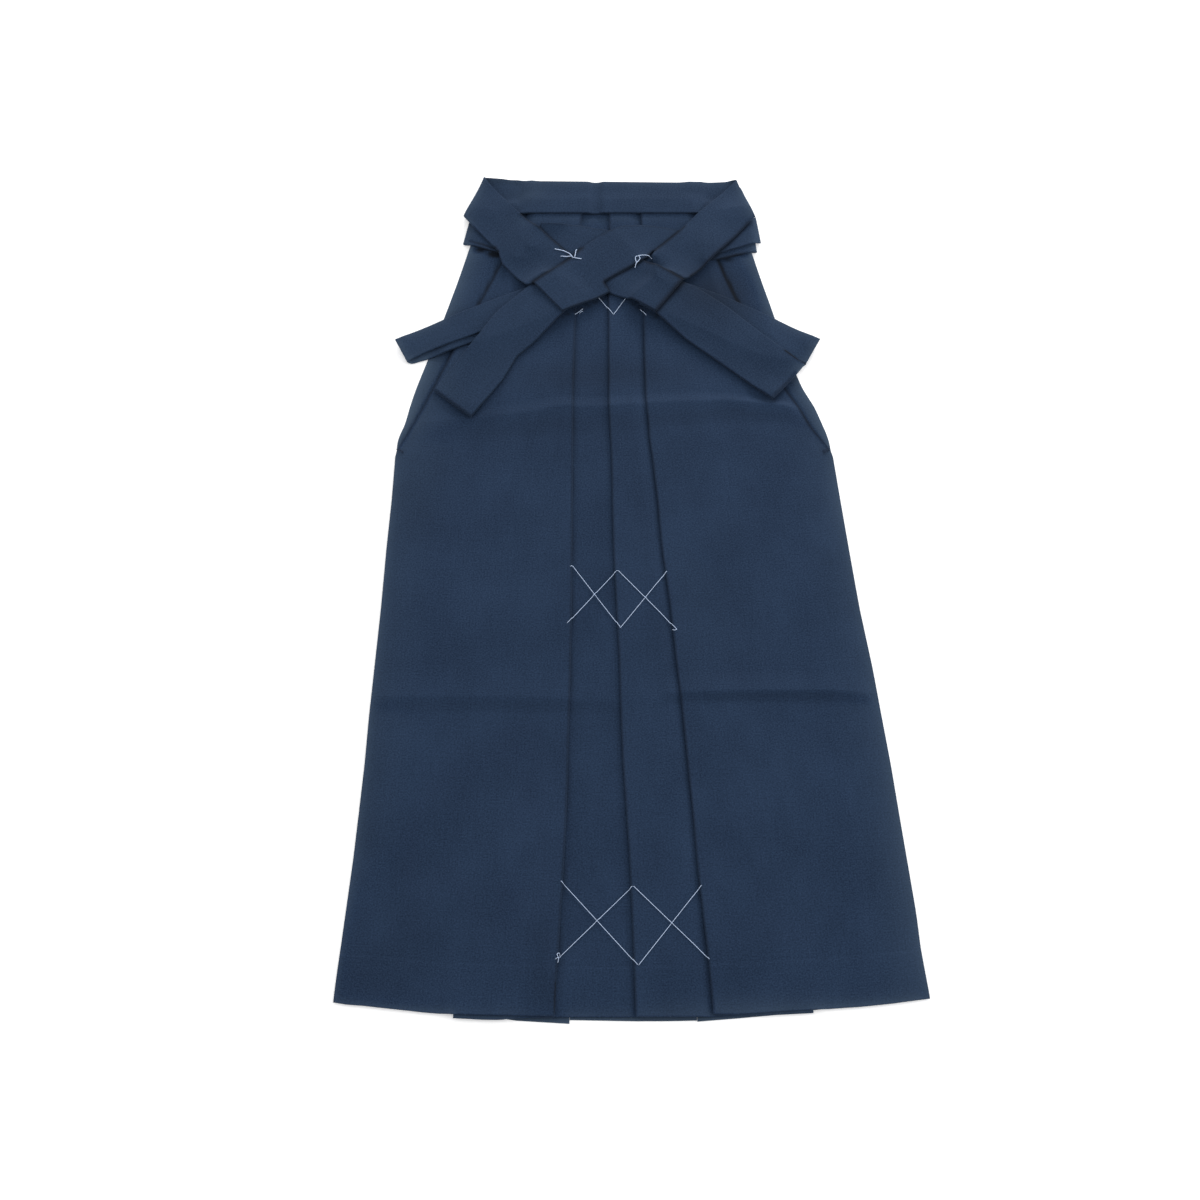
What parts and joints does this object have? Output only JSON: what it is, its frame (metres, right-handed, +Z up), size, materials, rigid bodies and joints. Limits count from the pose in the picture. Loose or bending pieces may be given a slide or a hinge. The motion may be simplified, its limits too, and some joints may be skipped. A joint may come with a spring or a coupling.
{
  "type": "hakama trousers",
  "caption": "Pleated hakama trousers in plain navy suiting, laid flat front up, with open sides and long ties folded in crossed lengths over the waist.",
  "frame": {"origin": "centre of the bounding box in plan, on the plane the garment rests on", "axes": "+Z up from the floor, +Y from hem to waist, +X to the right as seen from the front side; the garment lies front up"},
  "size_m": [0.571, 0.9758, 0.0197],
  "materials": {
    "cloth": "matt navy suiting with a fine even weave",
    "cloth_back": "matt navy suiting with a fine even weave",
    "tie_cloth": "matt navy suiting, folded and pressed"
  },
  "bodies": {
    "root": {"back_panel_left": "cloth_back", "back_panel_middle": "cloth_back", "back_panel_right": "cloth_back", "front_panel_left": "cloth", "front_panel_right": "cloth", "front_strip_centre_left": "cloth", "front_strip_centre_right": "cloth", "front_tie": "tie_cloth", "back_tie": "tie_cloth", "arm_left_low": "tie_cloth", "arm_left_high": "tie_cloth", "arm_right_low": "tie_cloth", "arm_right_high": "tie_cloth", "tie_wrap_under": "tie_cloth", "tie_wrap_over": "tie_cloth"}
  },
  "joints": []
}
